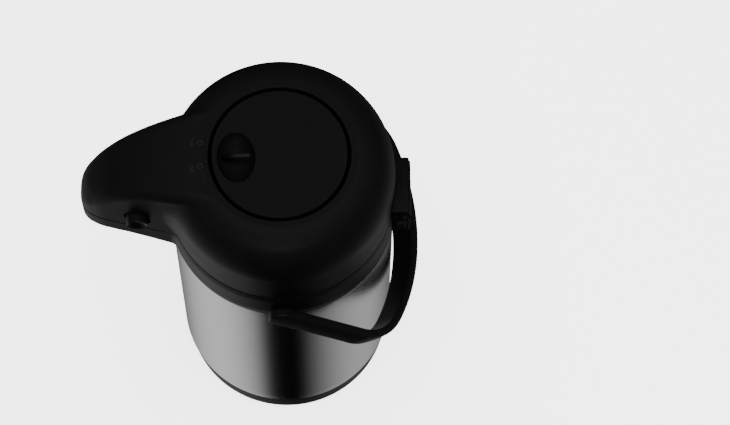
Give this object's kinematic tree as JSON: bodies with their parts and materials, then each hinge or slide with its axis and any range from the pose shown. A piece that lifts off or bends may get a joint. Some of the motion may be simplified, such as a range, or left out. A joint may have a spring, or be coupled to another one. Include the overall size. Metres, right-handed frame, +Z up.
{
  "type": "airpot",
  "caption": "Pump airpot: insulated steel vessel with a push-plate pump lid, pouring spout, side release buttons, swinging bail handle and swivel foot.",
  "frame": {"origin": "centre of the rubber foot's underside, on the body's axis", "axes": "+Z up along the body, the spout points to -Y and the lid hinge is at +Y"},
  "size_m": [0.1774, 0.2421, 0.3477],
  "materials": {
    "brushed": "brushed round the body, satin",
    "steel": "plain satin",
    "spring_steel": "bright wire",
    "black_plastic": "fine satin texture",
    "grey_plastic": "plain moulded",
    "rubber": "matt",
    "silicone": "translucent white, matt"
  },
  "bodies": {
    "foot": {"foot_pad": "rubber", "swivel_foot": "black_plastic", "swivel_washer": "steel", "swivel_screw": "steel"},
    "jug": {"base_ring": "black_plastic", "base_nuts": "steel", "shell_bottom": "steel", "outer_shell": "brushed", "inner_liner": "steel", "neck_gasket": "silicone", "collar": "black_plastic", "hinge_pin": "steel", "hinge_release_spring": "spring_steel", "tube_holder": "grey_plastic", "dip_tube": "steel", "tube_coupler": "silicone", "outlet_pipe": "steel", "nozzle": "black_plastic", "handle_pivot_pins": "steel"},
    "hinge_release": {"hinge_release": "steel"},
    "handle": {"handle_bail": "black_plastic"},
    "lid": {"lid_shell": "black_plastic", "lid_undercover": "grey_plastic", "lid_seal": "silicone", "lid_screws": "steel", "air_valve": "silicone", "hood_tongue": "grey_plastic", "bellows": "silicone", "return_spring": "spring_steel", "button_spring_left": "spring_steel", "button_spring_right": "spring_steel"},
    "lock": {"lock_ring": "grey_plastic"},
    "pump": {"push_plate": "black_plastic", "bellows_cap": "grey_plastic", "cap_screw": "steel"},
    "button_left": {"release_button_left": "black_plastic", "latch_hook_left": "steel"},
    "button_right": {"release_button_right": "black_plastic", "latch_hook_right": "steel"}
  },
  "joints": [
    {"name": "swivel", "type": "hinge", "parent": "foot", "child": "jug", "pos_m": [0, 0, 0], "axis": [0, 0, 1], "continuous": true},
    {"name": "handle_swing", "type": "hinge", "parent": "jug", "child": "handle", "pos_m": [0, 0, 0.2485], "axis": [1, 0, 0], "range_deg": [0, 150]},
    {"name": "lid_hinge", "type": "hinge", "parent": "jug", "child": "lid", "pos_m": [0, 0.087, 0.275], "axis": [-1, 0, 0], "range_deg": [0, 95]},
    {"name": "hinge_release", "type": "slide", "parent": "jug", "child": "hinge_release", "axis": [-1, 0, 0], "range_m": [0, 0.0025], "stiffness_N_per_m": 400, "springref_m": -0.003, "deforming": ["hinge_release_spring"]},
    {"name": "plate_turn", "type": "hinge", "parent": "lid", "child": "lock", "pos_m": [0, 0, 0.34], "axis": [0, 0, 1], "range_deg": [-13, 5]},
    {"name": "pump_press", "type": "slide", "parent": "lock", "child": "pump", "axis": [0, 0, -1], "range_m": [0, 0.025], "stiffness_N_per_m": 700, "springref_m": -0.02, "deforming": ["bellows", "return_spring"]},
    {"name": "button_left_press", "type": "slide", "parent": "lid", "child": "button_left", "axis": [1, 0, 0], "range_m": [0, 0.003], "stiffness_N_per_m": 500, "springref_m": -0.004, "deforming": ["button_spring_left"]},
    {"name": "button_right_press", "type": "slide", "parent": "lid", "child": "button_right", "axis": [-1, 0, 0], "range_m": [0, 0.003], "stiffness_N_per_m": 500, "springref_m": -0.004, "deforming": ["button_spring_right"]}
  ]
}
